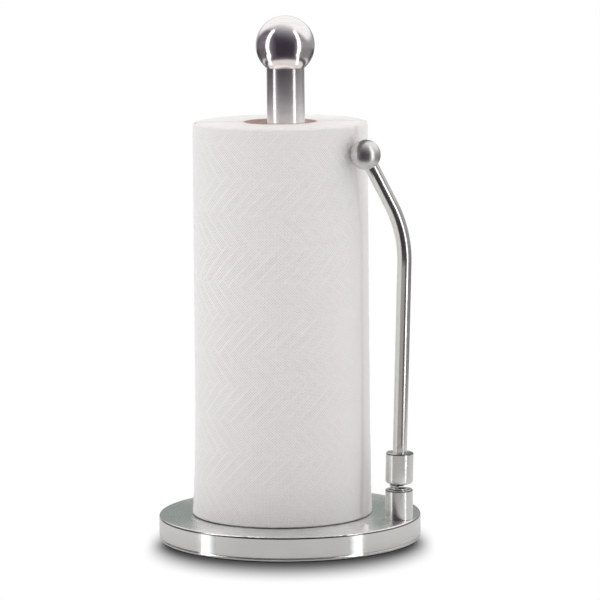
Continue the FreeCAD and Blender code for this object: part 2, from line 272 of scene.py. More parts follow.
def bars(g, u, v, bar, channel):
    """1 inside the bars of a herringbone on the flat sheet, and 0 in the plain channels between."""
    slant = g.times(bar, sqrt(2))
    rise = g.over(g.plus(u, v), slant)
    fall = g.over(g.minus(v, u), slant)
    step = g.plus(g.maths("FLOOR", rise), g.maths("FLOOR", fall))
    step = g.maths("FLOORED_MODULO", step, 2.0 * BAR_LENGTH)
    falling = g.maths("GREATER_THAN", step, BAR_LENGTH - 0.5)
    risen = g.maths("FRACT", rise)
    fallen = g.maths("FRACT", fall)
    across = g.span(falling, fallen, risen)
    along = g.plus(g.span(falling, risen, fallen), g.minus(step, g.times(falling, BAR_LENGTH)))
    from_side = g.minus(0.5, g.size(g.minus(across, 0.5)))
    from_end = g.minus(BAR_LENGTH / 2, g.size(g.minus(along, BAR_LENGTH / 2)))
    from_line = g.times(g.maths("MINIMUM", from_side, from_end), bar)
    return g.ease(from_line, g.times(channel, 0.35), g.times(channel, 0.65))


def pressed_dots(g, u, v, pitch):
    """How deep the paper is pressed, from 0 to 1, by the dots that lie in slanting rows."""
    turn = g.over(TURN, pitch)
    rise = g.maths("COSINE", g.times(g.plus(u, v), turn))
    fall = g.maths("COSINE", g.times(g.minus(v, u), turn))
    return g.times(g.span(rise, 0.0, 1.0, -0.5, 1.0), g.span(fall, 0.0, 1.0, -0.5, 1.0))


def quilting():
    """The pressed dots and plain channels of quilted paper, and the painted shade by the free edge, from a
    point's place on the flat sheet.
    """
    tree, g, given, result = group(
        "quilting", "ShaderNodeTree",
        {"Flat Place": VECTOR, **floats("Dot Pitch", "Bar Width", "Channel", "Turn", "Edge Shade")},
        floats("Dots", "Channels", "Free Edge"),
    )
    u, v, _ = g.parts(given["Flat Place"])
    inside = bars(g, u, v, given["Bar Width"], given["Channel"])
    g.feed(result["Dots"], g.times(pressed_dots(g, u, v, given["Dot Pitch"]), inside))
    g.feed(result["Channels"], g.minus(1.0, inside))
    # where the painted shade beside the free edge lies, weaker higher up
    from_edge = g.maths("MINIMUM", g.size(u), g.size(g.minus(u, given["Turn"])))
    near = g.ease(from_edge, 0.0, given["Edge Shade"], 1.0, 0.0)
    g.feed(result["Free Edge"], g.times(near, g.ease(v, 0.0, SHADE_HEIGHT, 1.0, 0.55)))
    return tree


LINES_GROUP = turning_lines()
FIBRES_GROUP = paper_fibres()
QUILTING_GROUP = quilting()
# Fine painted dark lines, standing in for dark reflections in the rounded top edges of metal pieces:
LINE_WIDTH = 0.8 * MM
LINE_EDGE = 0.15 * MM         # half the width over which a fine dark line fades in
DARK_REFLECTION_TONE = (0.15, 0.15, 0.14)
finishes = {}


def material(name, constants):
    """Adds a material to the finishes and gives its wiring helper and its Principled shader."""
    made = bpy.data.materials.new(name)
    made.use_nodes = True
    finishes[name] = made
    shader = next(n for n in made.node_tree.nodes if n.type == "BSDF_PRINCIPLED")
    for label, value in constants.items():
        shader.inputs[label].default_value = value
    return Graph(made.node_tree), shader


def tinted(colour, share):
    return tuple(min(1.0, part * share) for part in colour)


def brushed_steel(name, colour, roughness, stretch, depth, axis=(0.0, 0.0), pitch=0.6 * MM, spread=0.03,
                  shift=0.05, face=0.0, dark_lines=(), shade=None):
    """Stainless steel brushed while it turned about an upright axis.

    The brush's lines are pitch apart and depth deep, shift the tone by a share of it, and spread the
    roughness. The level faces are rougher than the upright ones by face. dark_lines lists the heights
    between which a fine painted dark line, standing in for a dark reflection, runs round the piece.
    shade lists two heights and how much of the tone is left at each: a painted shade.
    """
    g, shader = material(name, {"Metallic": 1.0, "Anisotropic": stretch, "Anisotropic Rotation": 0.25})
    place = g.place()
    lines, clouds = g.add("ShaderNodeGroup", {
        "Position": g.vectors("SUBTRACT", place, (*axis, 0.0)), "Line Pitch": pitch, "Arc Share": 1.6,
    }, node_tree=LINES_GROUP).outputs
    lines = g.span(lines, 0.0, 1.0, 0.30, 0.70)
    tone = g.mix_colour(lines, tinted(colour, 1 - shift), tinted(colour, 1 + shift))
    z = g.parts(place)[2]
    # painted shade: between the two heights the tone fades towards black
    if shade:
        low, high, low_share, high_share = shade
        tone = g.mix_colour(g.span(z, low_share, high_share, low, high), BLACK, tone)
    # painted dark reflections: each is a fine dark line round the piece
    for low, high in dark_lines:
        inside = g.times(g.ease(z, low - LINE_EDGE, low + LINE_EDGE),
                         g.ease(z, high - LINE_EDGE, high + LINE_EDGE, 1.0, 0.0))
        tone = g.mix_colour(inside, tone, DARK_REFLECTION_TONE)
    smear = g.span(clouds, -spread, spread)
    rough = g.plus(g.span(lines, roughness - spread, roughness + spread), smear)
    if face:
        level = g.parts(g.add("ShaderNodeNewGeometry").outputs["Normal"])[2]
        rough = g.plus(rough, g.ease(level, 0.85, 0.99, 0.0, face))
    tangent = g.add("ShaderNodeTangent", direction_type="RADIAL", axis="Z")
    g.feed(shader.inputs["Tangent"], tangent.outputs[0])
    g.dress(shader, tone, rough, lines, depth)


def polished_steel(name, colour, roughness):
    """Steel polished bright, with a faint unevenness."""
    grain = 0.6 * MM
    g, shader = material(name, {"Metallic": 1.0})
    place = g.place()
    clouds = g.noise(place, 1 / (12 * grain), 3.0)
    fine = g.noise(place, 1 / grain, 2.0)
    tone = g.mix_colour(clouds, tinted(colour, 0.96), tinted(colour, 1.04))
    rough = g.plus(g.span(clouds, roughness * 0.8, roughness * 1.2), g.span(fine, -0.02, 0.02))
    g.dress(shader, tone, rough, fine, 0.001 * MM, 0.5)


def grained(name, dark, light, roughness, size, depth):
    """A grainy surface, such as cast iron or moulded rubber."""
    g, shader = material(name, {})
    grain = g.noise(g.place(), 1 / size, 4.0, 0.6)
    rough = g.span(grain, roughness - 0.1, roughness + 0.1)
    g.dress(shader, g.mix_colour(grain, dark, light), rough, grain, depth)


def towel_paper(name, dull, bright, pressed=None):
    """Soft white tissue. The outer sheets also show their quilting: painted shade in the pressed dots and at
    the free edge.
    """
    g, shader = material(name, {"Specular IOR Level": 0.2})
    height, specks = g.add("ShaderNodeGroup", {
        "Position": g.place(), "Fibre Size": 0.5 * MM,
    }, node_tree=FIBRES_GROUP).outputs
    share = g.times(g.plus(height, specks), 0.5)
    colour = g.mix_colour(share, dull, bright)
    relief = g.times(height, FIBRE_DEPTH)
    if pressed:
        flat = g.add("ShaderNodeAttribute", attribute_name="flat_place")
        dots, channels, free_edge_shade = g.add("ShaderNodeGroup", {
            "Flat Place": flat.outputs["Vector"], "Dot Pitch": DOTS, "Bar Width": BAR, "Channel": CHANNEL,
            "Turn": TURN * roll_r, "Edge Shade": EDGE_SHADE,
        }, node_tree=QUILTING_GROUP).outputs
        # painted shade: the pressed dots darker, and the plain channels at the dots' mean shade
        share = g.maths("ADD", dots, g.times(channels, MEAN_DOT), clamp=True)
        colour = g.mix_colour(share, colour, pressed)
        # painted shade beside the free edge
        colour = g.mix_colour(g.times(free_edge_shade, 0.50), colour, (0.60, 0.53, 0.51))
        relief = g.minus(relief, g.times(dots, DOT_DEPTH))
    g.dress(shader, colour, g.span(height, 0.85, 1.0), relief, 1.0)


def core_board():
    """Recycled brown board, wound in a slant, with a seam that climbs round the tube."""
    g, shader = material("core_board", {"Specular IOR Level": 0.3})
    place = g.place()
    x, y, z = g.parts(g.vectors("SUBTRACT", place, (roll_axis.x, roll_axis.y, 0.0)))
    turn = g.over(g.maths("ARCTAN2", y, x), TURN)
    climb = g.maths("FRACT", g.plus(turn, g.over(z, CORE_SEAM_PITCH)))
    seam = g.ease(g.size(g.minus(climb, 0.5)), 0.006, 0.02)
    fibres = g.noise(g.vectors("MULTIPLY", place, (1.0, 1.0, 3.0)), 900.0, 4.0, 0.7)
    board = g.mix_colour(fibres, (0.64, 0.48, 0.43), (0.95, 0.81, 0.76))
    tone = g.mix_colour(seam, (0.44, 0.31, 0.26), board)
    g.dress(shader, tone, g.span(fibres, 0.75, 0.95), g.plus(g.times(fibres, 0.3), seam), 0.12 * MM)


def line_below(name, first, lean_drop=0.0):
    """Heights of a painted dark reflection: a fine line a little below the top of a piece, which may lean.
    """
    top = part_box(name)[1].z - lean_drop - first
    return (top - LINE_WIDTH, top)


BRIGHT_STEEL = (0.85, 0.85, 0.83)
# Painted dark reflections: fine dark lines below the rounded tops of the base's cover and the ferrules.
RIM_DARK_REFLECTION = line_below("base_cover", 0.75 * MM)
FERRULE_DARK_REFLECTIONS = (
    line_below("lower_ferrule", 0.15 * MM),
    line_below("upper_ferrule", 0.15 * MM, lean_drop=0.33 * MM),
)
POST_SHADE = (294 * MM, 317 * MM, 1.0, 0.62)  # painted shade: the post darkens from the roll up to the finial

brushed_steel("cover_steel", BRIGHT_STEEL, roughness=0.16, stretch=0.95, depth=0.003 * MM, pitch=0.8 * MM,
              face=0.12, dark_lines=(RIM_DARK_REFLECTION,))
brushed_steel("post_steel", (1.0, 0.955, 0.955), roughness=0.33, stretch=1.0, depth=0.0003 * MM,
              pitch=0.5 * MM, spread=0.008, shift=0.09, shade=POST_SHADE)
brushed_steel("finial_steel", (0.89, 0.855, 0.855), roughness=0.17, stretch=0.50, depth=0.0006 * MM,
              spread=0.008, shift=0.08)
brushed_steel("ferrule_steel", BRIGHT_STEEL, roughness=0.20, stretch=0.95, depth=0.0005 * MM,
              axis=(pivot.x, pivot.y), dark_lines=FERRULE_DARK_REFLECTIONS)
brushed_steel("tip_steel", (0.74, 0.735, 0.72), roughness=0.36, stretch=0.30, depth=0.002 * MM,
              axis=(tip_centre.x, tip_centre.y))
polished_steel("arm_steel", BRIGHT_STEEL, roughness=0.22)
polished_steel("spring_steel", (0.64, 0.63, 0.61), roughness=0.09)
# plain_steel is very dark: painted shade for the anchors inside the spring's coil
polished_steel("plain_steel", (0.16, 0.16, 0.16), roughness=0.40)
polished_steel("plug_alloy", (0.62, 0.63, 0.64), roughness=0.45)
grained("weight_iron", (0.02, 0.02, 0.02), (0.07, 0.065, 0.06), roughness=0.7, size=1.5 * MM,
        depth=0.15 * MM)
grained("pad_rubber", (0.012, 0.012, 0.012), (0.03, 0.03, 0.03), roughness=0.8, size=0.6 * MM,
        depth=0.05 * MM)
core_board()
# pressed is the colour of the painted shade in the pressed dots
towel_paper("towel_paper", (0.83, 0.83, 0.835), (0.912, 0.917, 0.922), pressed=(0.67, 0.64, 0.63))
towel_paper("wound_paper", (0.80, 0.79, 0.78), (0.90, 0.895, 0.89))


def finish_cad_nodes():
    """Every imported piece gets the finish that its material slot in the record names."""
    for node in frame["nodes"].values():
        for held in node.material_slots:
            held.material = finishes[held.material.name.split(".")[0]]


# ---- meshes ----

def in_scene(name, data):
    """A new object in the scene, for a mesh, a lamp or a camera."""
    made = bpy.data.objects.new(name, data)
    scene.collection.objects.link(made)
    return made


def mesh_object(name, points, faces):
    mesh = bpy.data.meshes.new(name)
    mesh.from_pydata(points, [], faces)
    mesh.validate()
    mesh.polygons.foreach_set("use_smooth", [True] * len(mesh.polygons))
    return in_scene(name, mesh)


def baked(made, tree, inputs, name, body):
    """Runs a Geometry Nodes tree on an object and leaves a plain mesh that rides on its body."""
    modifier = made.modifiers.new("shape", "NODES")
    modifier.node_group = tree
    for item in tree.interface.items_tree:
        if item.in_out == "INPUT" and item.name in inputs:
            modifier[item.identifier] = inputs[item.name]
    bpy.context.view_layer.update()
    evaluated = made.evaluated_get(bpy.context.evaluated_depsgraph_get())
    mesh = bpy.data.meshes.new_from_object(evaluated)
    bpy.data.objects.remove(made)
    result = in_scene(name, mesh)
    mesh.name = name
    if body:
        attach(result, body)
    return result


def shape_group(name, inputs):
    """A Geometry Nodes group that takes the mesh of the object it is on and a material."""
    inputs = {"Geometry": GEOMETRY, **inputs, "Material": MATERIAL}
    return group(name, "GeometryNodeTree", inputs, {"Geometry": GEOMETRY})


def end_tree(g, given, result, last):
    """Ends a Geometry Nodes tree after its last node: real geometry, in the material that was given."""
    real = g.add("GeometryNodeRealizeInstances", {0: last.outputs[0]})
    done = g.add("GeometryNodeSetMaterial", {0: real.outputs[0], "Material": given["Material"]})
    g.feed(result["Geometry"], done.outputs[0])


def turned(name, outline, finish):
    """Closed surface of an outline of (radius, height) points turned about the roll's axis."""
    segments = 192
    points = [(roll_axis.x + r * cos(a), roll_axis.y + r * sin(a), z)
              for a in np.linspace(0, TURN, segments, endpoint=False) for r, z in outline]
    count = len(outline)
    faces = []
    for i in range(segments):
        here = i * count
        there = (i + 1) % segments * count
        for j in range(count):
            k = (j + 1) % count
            faces.append((here + j, there + j, there + k, here + k))
    made = mesh_object(name, points, faces)
    made.data.set_sharp_from_angle(angle=radians(30))
    made.data.materials.append(finish)
    return made


def rounded(centre_r, centre_z, radius, first, last):
    """Points of an outline along an arc between two directions in degrees."""
    return [(centre_r + radius * cos(radians(a)), centre_z + radius * sin(radians(a)))
            for a in np.linspace(first, last, 6)]


# ---- the roll ----

def flat_sheet(name, start, length, height):
    """A closed flat sheet, X along the paper and Y across it: a fine face at Z 0, a coarse back below."""
    coarse = 8
    columns = max(coarse, round(length / GRID / coarse) * coarse)
    rows = round(height / GRID / coarse) * coarse
    xs = start + np.linspace(0, length, columns + 1)
    ys = np.linspace(0, height, rows + 1)
    points = [(x, y, 0.0) for x in xs for y in ys]

    def front(i, j):
        return i * (rows + 1) + j

    faces = [(front(i, j), front(i + 1, j), front(i + 1, j + 1), front(i, j + 1))
             for i in range(columns) for j in range(rows)]
    back_rows = rows // coarse + 1
    first_back = len(points)
    points += [(x, y, -PLY) for x in xs[::coarse] for y in ys[::coarse]]

    def back(i, j):
        return first_back + i * back_rows + j

    back_columns = columns // coarse
    faces += [(back(i, j), back(i, j + 1), back(i + 1, j + 1), back(i + 1, j))
              for i in range(back_columns) for j in range(back_rows - 1)]
    for i in range(back_columns):
        span = range(i * coarse, (i + 1) * coarse + 1)
        faces.append([front(k, 0) for k in reversed(span)] + [back(i, 0), back(i + 1, 0)])
        faces.append([front(k, rows) for k in span] + [back(i + 1, back_rows - 1), back(i, back_rows - 1)])
    for j in range(back_rows - 1):
        span = range(j * coarse, (j + 1) * coarse + 1)
        faces.append([front(0, k) for k in span] + [back(0, j + 1), back(0, j)])
        faces.append([front(columns, k) for k in reversed(span)]
                     + [back(back_columns, j), back(back_columns, j + 1)])
    return mesh_object(name, points, faces)


def sheet_tree():
    """Wraps a flat sheet round the roll, quilts its face and draws its free edge out of straight."""
    tree, g, given, result = shape_group("wrapped_sheet", {"Drift": VECTOR, "Centre": VECTOR, **floats(
        "Radius", "Layer", "Free Edge Side", "Height", "Middle", "Rim Round", "Foot Round", "Bar Width",
        "Channel", "Cushion", "Tuck", "Tuck Reach", "Swell", "Taper", "Flare", "Flare Height",
        "Pinch Height",
    )})
    flat = g.add("GeometryNodeInputPosition").outputs[0]
    u, v, depth = g.parts(flat)
    radius = given["Radius"]
    from_middle = g.minus(v, given["Middle"])
    side = g.maths("SIGN", from_middle)
    rim = g.span(g.maths("GREATER_THAN", from_middle, 0.0), given["Foot Round"], given["Rim Round"])
    straight = g.minus(g.times(given["Height"], 0.5), rim)
    reach = g.size(from_middle)
    past = g.maths("MAXIMUM", g.minus(reach, straight), 0.0)
    bend = g.over(past, rim)

    channels = g.minus(1.0, bars(g, u, v, given["Bar Width"], given["Channel"]))
    relief = g.times(channels, given["Cushion"])
    face = g.maths("GREATER_THAN", depth, -0.5 * PLY)
    sag = g.noise(g.vector(g.over(u, radius), g.over(v, radius), 0.0), 2.2, 1.0)
    sag = g.times(g.minus(sag, 0.75), SHEET_WAVE)

    turn = g.times(radius, TURN)
    tuck = g.times(g.ease(u, 0.0, given["Tuck Reach"], -1.0, 0.0), given["Tuck"])
    short_of = g.minus(turn, u)
    hump = g.times(g.ease(short_of, 0.0, 6 * MM), g.ease(short_of, 12 * MM, 24 * MM, 1.0, 0.0))
    swell = g.times(hump, given["Swell"])
    pinch = g.size(g.minus(v, given["Pinch Height"]))
    wander = g.noise(g.vector(0.0, g.over(v, radius), 3.7), 1.3, 1.0)
    drawn = g.plus(g.ease(pinch, 0.0, PINCH_REACH, PINCH, 0.0), g.ease(v, 0.0, FOOT_REACH, FOOT_DRAW, 0.0))
    slip = g.plus(g.times(g.minus(wander, 0.5), WANDER), drawn)
    from_end = g.maths("MINIMUM", u, g.size(short_of))
    slip = g.times(slip, g.ease(from_end, 0.0, SLIP_REACH, 1.0, 0.0))
    way_down = g.minus(1.0, g.over(v, given["Height"]))
    near_foot = g.maths("MAXIMUM", g.minus(1.0, g.over(v, given["Flare Height"])), 0.0)
    flared = g.times(g.times(near_foot, near_foot), given["Flare"])
    loose = g.plus(g.times(way_down, given["Taper"]), flared)

    out = g.plus(g.plus(depth, g.times(relief, face)), g.plus(sag, g.plus(tuck, swell)))
    here = g.minus(g.plus(radius, loose), g.times(g.over(u, turn), given["Layer"]))
    inset = g.times(rim, g.minus(1.0, g.maths("COSINE", bend)))
    from_axis = g.plus(g.minus(here, inset), g.times(out, g.maths("COSINE", bend)))
    up = g.plus(g.maths("MINIMUM", reach, straight), g.times(g.maths("SINE", bend), g.plus(rim, out)))
    angle = g.minus(given["Free Edge Side"], g.over(g.plus(u, slip), radius))
    wrapped = g.vector(g.times(from_axis, g.maths("COSINE", angle)),
                       g.times(from_axis, g.maths("SINE", angle)), g.times(up, side))
    drift = g.vectors("MULTIPLY", g.vector(loose, loose, 0.0), given["Drift"])
    middle = g.vectors("ADD", given["Centre"], drift)
    marked = g.add("GeometryNodeStoreNamedAttribute", {
        "Geometry": given["Geometry"], "Name": "flat_place", "Value": flat,
    }, data_type="FLOAT_VECTOR", domain="POINT")
    placed = g.add("GeometryNodeSetPosition", {
        "Geometry": marked.outputs[0], "Position": g.vectors("ADD", wrapped, middle),
    })
    end_tree(g, given, result, placed)
    return tree


def outer_sheets():
    """The outermost turn: two whole sheets and the start of the next, torn apart at perforations."""
    tree = sheet_tree()
    turn = TURN * roll_r
    full = roll_high.z - roll_low.z
    height = full - (RIM_ROUND + FOOT_ROUND) * (1 - RIM_REACH)
    middle = full / 2 - FOOT_ROUND * (1 - RIM_REACH)
    tears = (0.0, SHEET_LENGTH, 2 * SHEET_LENGTH, turn + OVERLAP)
    for name, start, end in zip(("first_sheet", "second_sheet", "third_sheet"), tears, tears[1:]):
        flat = flat_sheet(name + "_flat", start, end - start - TORN_GAP, height)
        baked(flat, tree, {
            "Radius": roll_r - CUSHION, "Layer": LAYER, "Free Edge Side": TAIL_SIDE, "Height": full,
            "Middle": middle, "Rim Round": RIM_ROUND, "Foot Round": FOOT_ROUND, "Bar Width": BAR,
            "Channel": CHANNEL, "Cushion": CUSHION, "Tuck": TAIL_TUCK, "Tuck Reach": TAIL_REACH,
            "Swell": UNDER_SWELL, "Taper": TAPER, "Flare": FLARE, "Flare Height": FLARE_HEIGHT,
            "Drift": tuple(towards(-90) * SAG), "Pinch Height": middle + tip_centre.z - roll_axis.z,
            "Centre": tuple(roll_axis), "Material": finishes["towel_paper"],
        }, name, "paper")


def spiral_tree():
    """A flat spiral of paper edge, seen end on."""
    tree, g, given, result = shape_group("wound_edge", {
        "Centre": VECTOR, **floats("Turns", "Inner Radius", "Outer Radius", "Edge Width"),
    })
    spiral = g.add("GeometryNodeCurveSpiral", {
        "Resolution": 96, "Rotations": given["Turns"], "Start Radius": given["Inner Radius"],
        "End Radius": given["Outer Radius"], "Height": 0.0,
    })
    profile = g.add("GeometryNodeCurvePrimitiveCircle", {"Resolution": 4, "Radius": given["Edge Width"]})
    ribbon = g.add("GeometryNodeCurveToMesh", {
        "Curve": spiral.outputs[0], "Profile Curve": profile.outputs[0], "Fill Caps": True,
    })
    place = g.add("GeometryNodeInputPosition").outputs[0]
    uneven = g.times(g.minus(g.noise(place, 260.0, 3.0), 0.5), WOUND_WAVE)
    shifted = g.vectors("ADD", given["Centre"], g.vector(0.0, 0.0, uneven))
    placed = g.add("GeometryNodeSetPosition", {"Geometry": ribbon.outputs[0], "Offset": shifted})
    end_tree(g, given, result, placed)
    return tree


def looseness(height):
    """How much wider the roll is at a height above its foot than it is at its top."""
    way_down = 1 - height / (roll_high.z - roll_low.z)
    near_foot = max(0.0, 1 - height / FLARE_HEIGHT)
    return TAPER * way_down + FLARE * near_foot ** 2


def wound_paper():
    """The turns below the outer sheets, with the paper's edge wound in a spiral at both ends."""
    bore_r = core_r + CORE_CLEARANCE
    outer_r = roll_r - CUSHION - LAYER - PLY - UNDER_SHEETS
    edge = 0.35 * MM
    low = roll_low.z + edge
    high = roll_high.z - edge
    round_r = RIM_ROUND - edge
    foot_round = FOOT_ROUND - edge
    foot_r = outer_r + looseness(0.0)
    above_foot, below_top = 2 * MM, 5 * MM
    heights = np.linspace(foot_round + above_foot, high - low - below_top, 40)
    outline = (
        [(bore_r, low)]
        + rounded(foot_r - foot_round, low + foot_round, foot_round, -90, 0)
        + [(outer_r + looseness(h), low + h) for h in heights]
        + rounded(outer_r - round_r, high - round_r, round_r, 0, 90)
        + [(bore_r, high)]
    )
    body = turned("wound_paper", outline, finishes["wound_paper"])
    for vertex in body.data.vertices:
        if hypot(vertex.co.x - roll_axis.x, vertex.co.y - roll_axis.y) > bore_r + 1 * MM:
            vertex.co += towards(-90) * (SAG * looseness(vertex.co.z - low))
    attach(body, "paper")
    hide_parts("paper_roll")
    tree = spiral_tree()
    first = bore_r + 0.3 * MM
    for name, height, last in (("wound_edge_top", high, outer_r - round_r * 0.75),
                               ("wound_edge_bottom", low, foot_r - foot_round - SAG * looseness(0.0))):
        start = mesh_object(name + "_start", [(0, 0, 0)], [])
        baked(start, tree, {
            "Turns": round((last - first) / LAYER), "Inner Radius": first, "Outer Radius": last,
            "Edge Width": WOUND_EDGE, "Centre": (roll_axis.x, roll_axis.y, height),
            "Material": finishes["wound_paper"],
        }, name, "paper")


def core_tube():
    """Cardboard tube in the middle of the roll, with its cut ends a little rounded off."""
    low = core_low.z
    high = core_high.z
    bore_r = core_r - CORE_WALL
    edge = 0.15 * MM
    outline = [
        (bore_r, high - edge), (bore_r, low + edge), (bore_r + edge, low), (core_r - edge, low),
        (core_r, low + edge), (core_r, high - edge), (core_r - edge, high), (bore_r + edge, high),
    ]
    tube = turned("core_tube", outline, finishes["core_board"])
    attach(tube, "roll_core")
    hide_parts("cardboard_core")


# ---- the spring ----

def coil_tree():
    """A coil of round wire, upright, from the height of its first turn."""
    tree, g, given, result = shape_group("coil", {
        "Foot": VECTOR, **floats("Turns", "Pitch", "Coil Radius", "Wire Radius", "Start Turn"),
    })
    height = g.times(given["Turns"], given["Pitch"])
    spiral = g.add("GeometryNodeCurveSpiral", {
        "Resolution": 72, "Rotations": given["Turns"], "Start Radius": given["Coil Radius"],
        "End Radius": given["Coil Radius"], "Height": height,
    })
    turn = g.vector(0.0, 0.0, g.times(given["Start Turn"], TURN))
    placed = g.add("GeometryNodeTransform", {
        "Geometry": spiral.outputs[0], "Translation": given["Foot"], "Rotation": turn,
    })
    profile = g.add("GeometryNodeCurvePrimitiveCircle", {"Resolution": 14, "Radius": given["Wire Radius"]})
    wire = g.add("GeometryNodeCurveToMesh", {
        "Curve": placed.outputs[0], "Profile Curve": profile.outputs[0], "Fill Caps": True,
    })
    end_tree(g, given, result, wire)
    return tree


def bend_with_arm(mesh, low, high):
    """Upright points lean out with the arm, a little more for each turn between two heights."""
    for vertex in mesh.vertices:
        share = min(1.0, max(0.0, (vertex.co.z - low) / (high - low)))
        turn = Matrix.Rotation(lean * share * share * (3 - 2 * share), 3, lean_axis)
        vertex.co = pivot + turn @ (vertex.co - pivot)


def spring_halves():
    """The coil in two lengths: the lower bends off the base, the upper with the arm."""
    tree = coil_tree()
    wire_r = 1.0 * MM
    pitch = 2.9 * MM
    coil_r = 5.3 * MM
    bend = 4.0 * MM
    below = 3.8
    low = pivot.z - below * pitch
    for name, start, turns, bodies, reach in (
        ("lower_coil", 0.0, below, ("holder", "spring"), (-bend, 0.0)),
        ("upper_coil", below, 3.7, ("spring", "arm"), (0.0, bend)),
    ):
        seed = mesh_object(name + "_start", [(0, 0, 0)], [])
        coil = baked(seed, tree, {
            "Turns": turns, "Pitch": pitch, "Coil Radius": coil_r, "Wire Radius": wire_r,
            "Start Turn": start, "Foot": (pivot.x, pivot.y, low + start * pitch),
            "Material": finishes["spring_steel"],
        }, name, None)
        coil.data.polygons.foreach_set("use_smooth", [True] * len(coil.data.polygons))
        bend_with_arm(coil.data, pivot.z - bend, pivot.z + bend)
        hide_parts("tension_spring")
        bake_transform(coil)


# ---- studio ----

ARM_R = 4.75 * MM
ARM_REACH = 59.6 * MM         # from the corner of the arm's middle line to the middle of its ball
BEND_LENGTH = 20.6 * MM       # from that corner to either end of the bend
SLEEVE_TOP = 27.0 * MM        # of the upper ferrule, above the pivot

CAMERA_DISTANCE = 2.568
CAMERA_AZIMUTH = 20.1
CAMERA_ELEVATION = 7.722
CAMERA_ROLL = 0.551
CAMERA_AIM = Vector((7.77, 2.84, 162.4)) * MM


def towards(azimuth, elevation=0.0):
    """Direction at an azimuth in degrees to the right of the way to the camera, seen from the object."""
    a = radians(CAMERA_AZIMUTH + azimuth)
    e = radians(elevation)
    return Vector((sin(a) * cos(e), -cos(a) * cos(e), sin(e)))


VIEW = towards(0, CAMERA_ELEVATION)
RIGHT = towards(90)


def set_camera():
    roll = radians(CAMERA_ROLL)
    up = VIEW.cross(RIGHT)
    x = cos(roll) * RIGHT - sin(roll) * up
    y = sin(roll) * RIGHT + cos(roll) * up
    data = bpy.data.cameras.new("camera")
    data.sensor_width = 36.0
    data.lens = 227.9
    data.clip_end = 50.0
    camera = in_scene("camera", data)
    place = CAMERA_AIM + VIEW * CAMERA_DISTANCE
    camera.matrix_world = Matrix.Translation(place) @ Matrix((x, y, VIEW)).transposed().to_4x4()
    scene.camera = camera


def bare_tree(owner):
    """Wiring helper for the emptied node tree of a material or a world."""
    owner.use_nodes = True
    owner.node_tree.nodes.clear()
    return Graph(owner.node_tree)


def lit(card, colour=WHITE, strength=1.0):
    """Makes a studio card glow. Metal shows it, and it neither lights nor shades nor shows itself."""
    made = bpy.data.materials.new(card.name + "_light")
    g = bare_tree(made)
    shader = g.add("ShaderNodeEmission", {"Color": colour, "Strength": strength})
    g.add("ShaderNodeOutputMaterial", {0: shader.outputs[0]})
    card.data.materials.append(made)
    card.visible_camera = False
    card.visible_diffuse = False
    card.visible_shadow = False
    card.visible_transmission = False
    card.visible_volume_scatter = False
    return g, shader


TENT_R = 2.4
TABLE_R = 0.50
TABLE_BACK = 0.25             # how far behind the object its middle is
ABOVE_TABLE = Vector((0, 0, 0.001))


def side_shade(g, aside, front, left, right):
    """Cloth of one shade in front and behind, and lighter to the left and to the right."""
    side = g.mix_colour(g.ease(aside, -0.3, 0.3), left, right)
    return g.mix_colour(g.ease(g.size(aside), 0.50, 0.95), front, side)


def grid_card(name, lines):
    """Thin card over a grid of points, given line by line."""
    count = len(lines[0])
    points = [point for line in lines for point in line]
    faces = [(i * count + j, (i + 1) * count + j, (i + 1) * count + j + 1, i * count + j + 1)
             for i in range(len(lines) - 1) for j in range(count - 1)]
    return mesh_object(name, points, faces)


def circle(radius, height, middle=(0, 0), count=96):
    """Points round a level circle, with the first one again at the end."""
    return [(middle[0] + radius * cos(t), middle[1] + radius * sin(t), height)
            for t in np.linspace(0, TURN, count + 1)]


def dark_tent():
    """Dark cloth all round the set, white above and behind."""
    near_pole = 0.001
    tent = grid_card("dark_tent", [circle(TENT_R * sin(a), TENT_R * cos(a))
                                   for a in np.linspace(near_pole, pi - near_pole, 48)])
    g, shader = lit(tent)
    way = g.vectors("NORMALIZE", g.place())
    open_side = g.dot(way, towards(160, 45))
    aside = g.dot(way, RIGHT)
    front = g.ease(g.size(aside), 0.20, 0.60, 1.0, 0.0)
    white = g.ease(g.minus(open_side, g.times(front, 0.18)), 0.42, 0.66)
    bright = g.ease(g.parts(way)[2], 0.22, 0.44, 0.34, 1.0)
    rise = g.maths("DIVIDE", g.plus(open_side, 0.60), 1.40, clamp=True)
    glow = g.times(g.maths("POWER", rise, 3.2), g.ease(g.size(aside), 0.35, 0.75, 1.0, 0.0))
    cloth = side_shade(g, aside, (0.042, 0.034, 0.050), (0.18, 0.16, 0.19), (0.31, 0.30, 0.31))
    cloth = g.mix_colour(glow, cloth, WHITE)
    g.feed(shader.inputs["Color"], g.mix_colour(white, cloth, bright))


def floor_cloth():
    """Dark cloth on the floor round the white table, reaching out past the tent."""
    middle = towards(180) * TABLE_BACK
    cloth = grid_card("dark_floor_cloth", [circle(r, 0.0015, middle) for r in (TABLE_R, TENT_R + 0.4)])
    g, shader = lit(cloth)
    aside = g.dot(g.vectors("NORMALIZE", g.place()), RIGHT)
    shade = side_shade(g, aside, (0.044, 0.036, 0.048), (0.14, 0.125, 0.14), (0.24, 0.23, 0.23))
    g.feed(shader.inputs["Color"], shade)


def light_band(name, lines, colour, strength, inner_share, fade):
    """A bright band between lines of points: crisp at the last line, fading towards the first."""
    card = grid_card(name, lines)
    shade = card.data.attributes.new("across", "FLOAT", "POINT")
    shade.data.foreach_set("value", np.repeat(np.linspace(0, 1, len(lines)), len(lines[0])))
    g, shader = lit(card, colour)
    across = g.add("ShaderNodeAttribute", attribute_name="across").outputs["Fac"]
    g.feed(shader.inputs["Strength"], g.ease(across, 0.0, fade, strength * inner_share, strength))


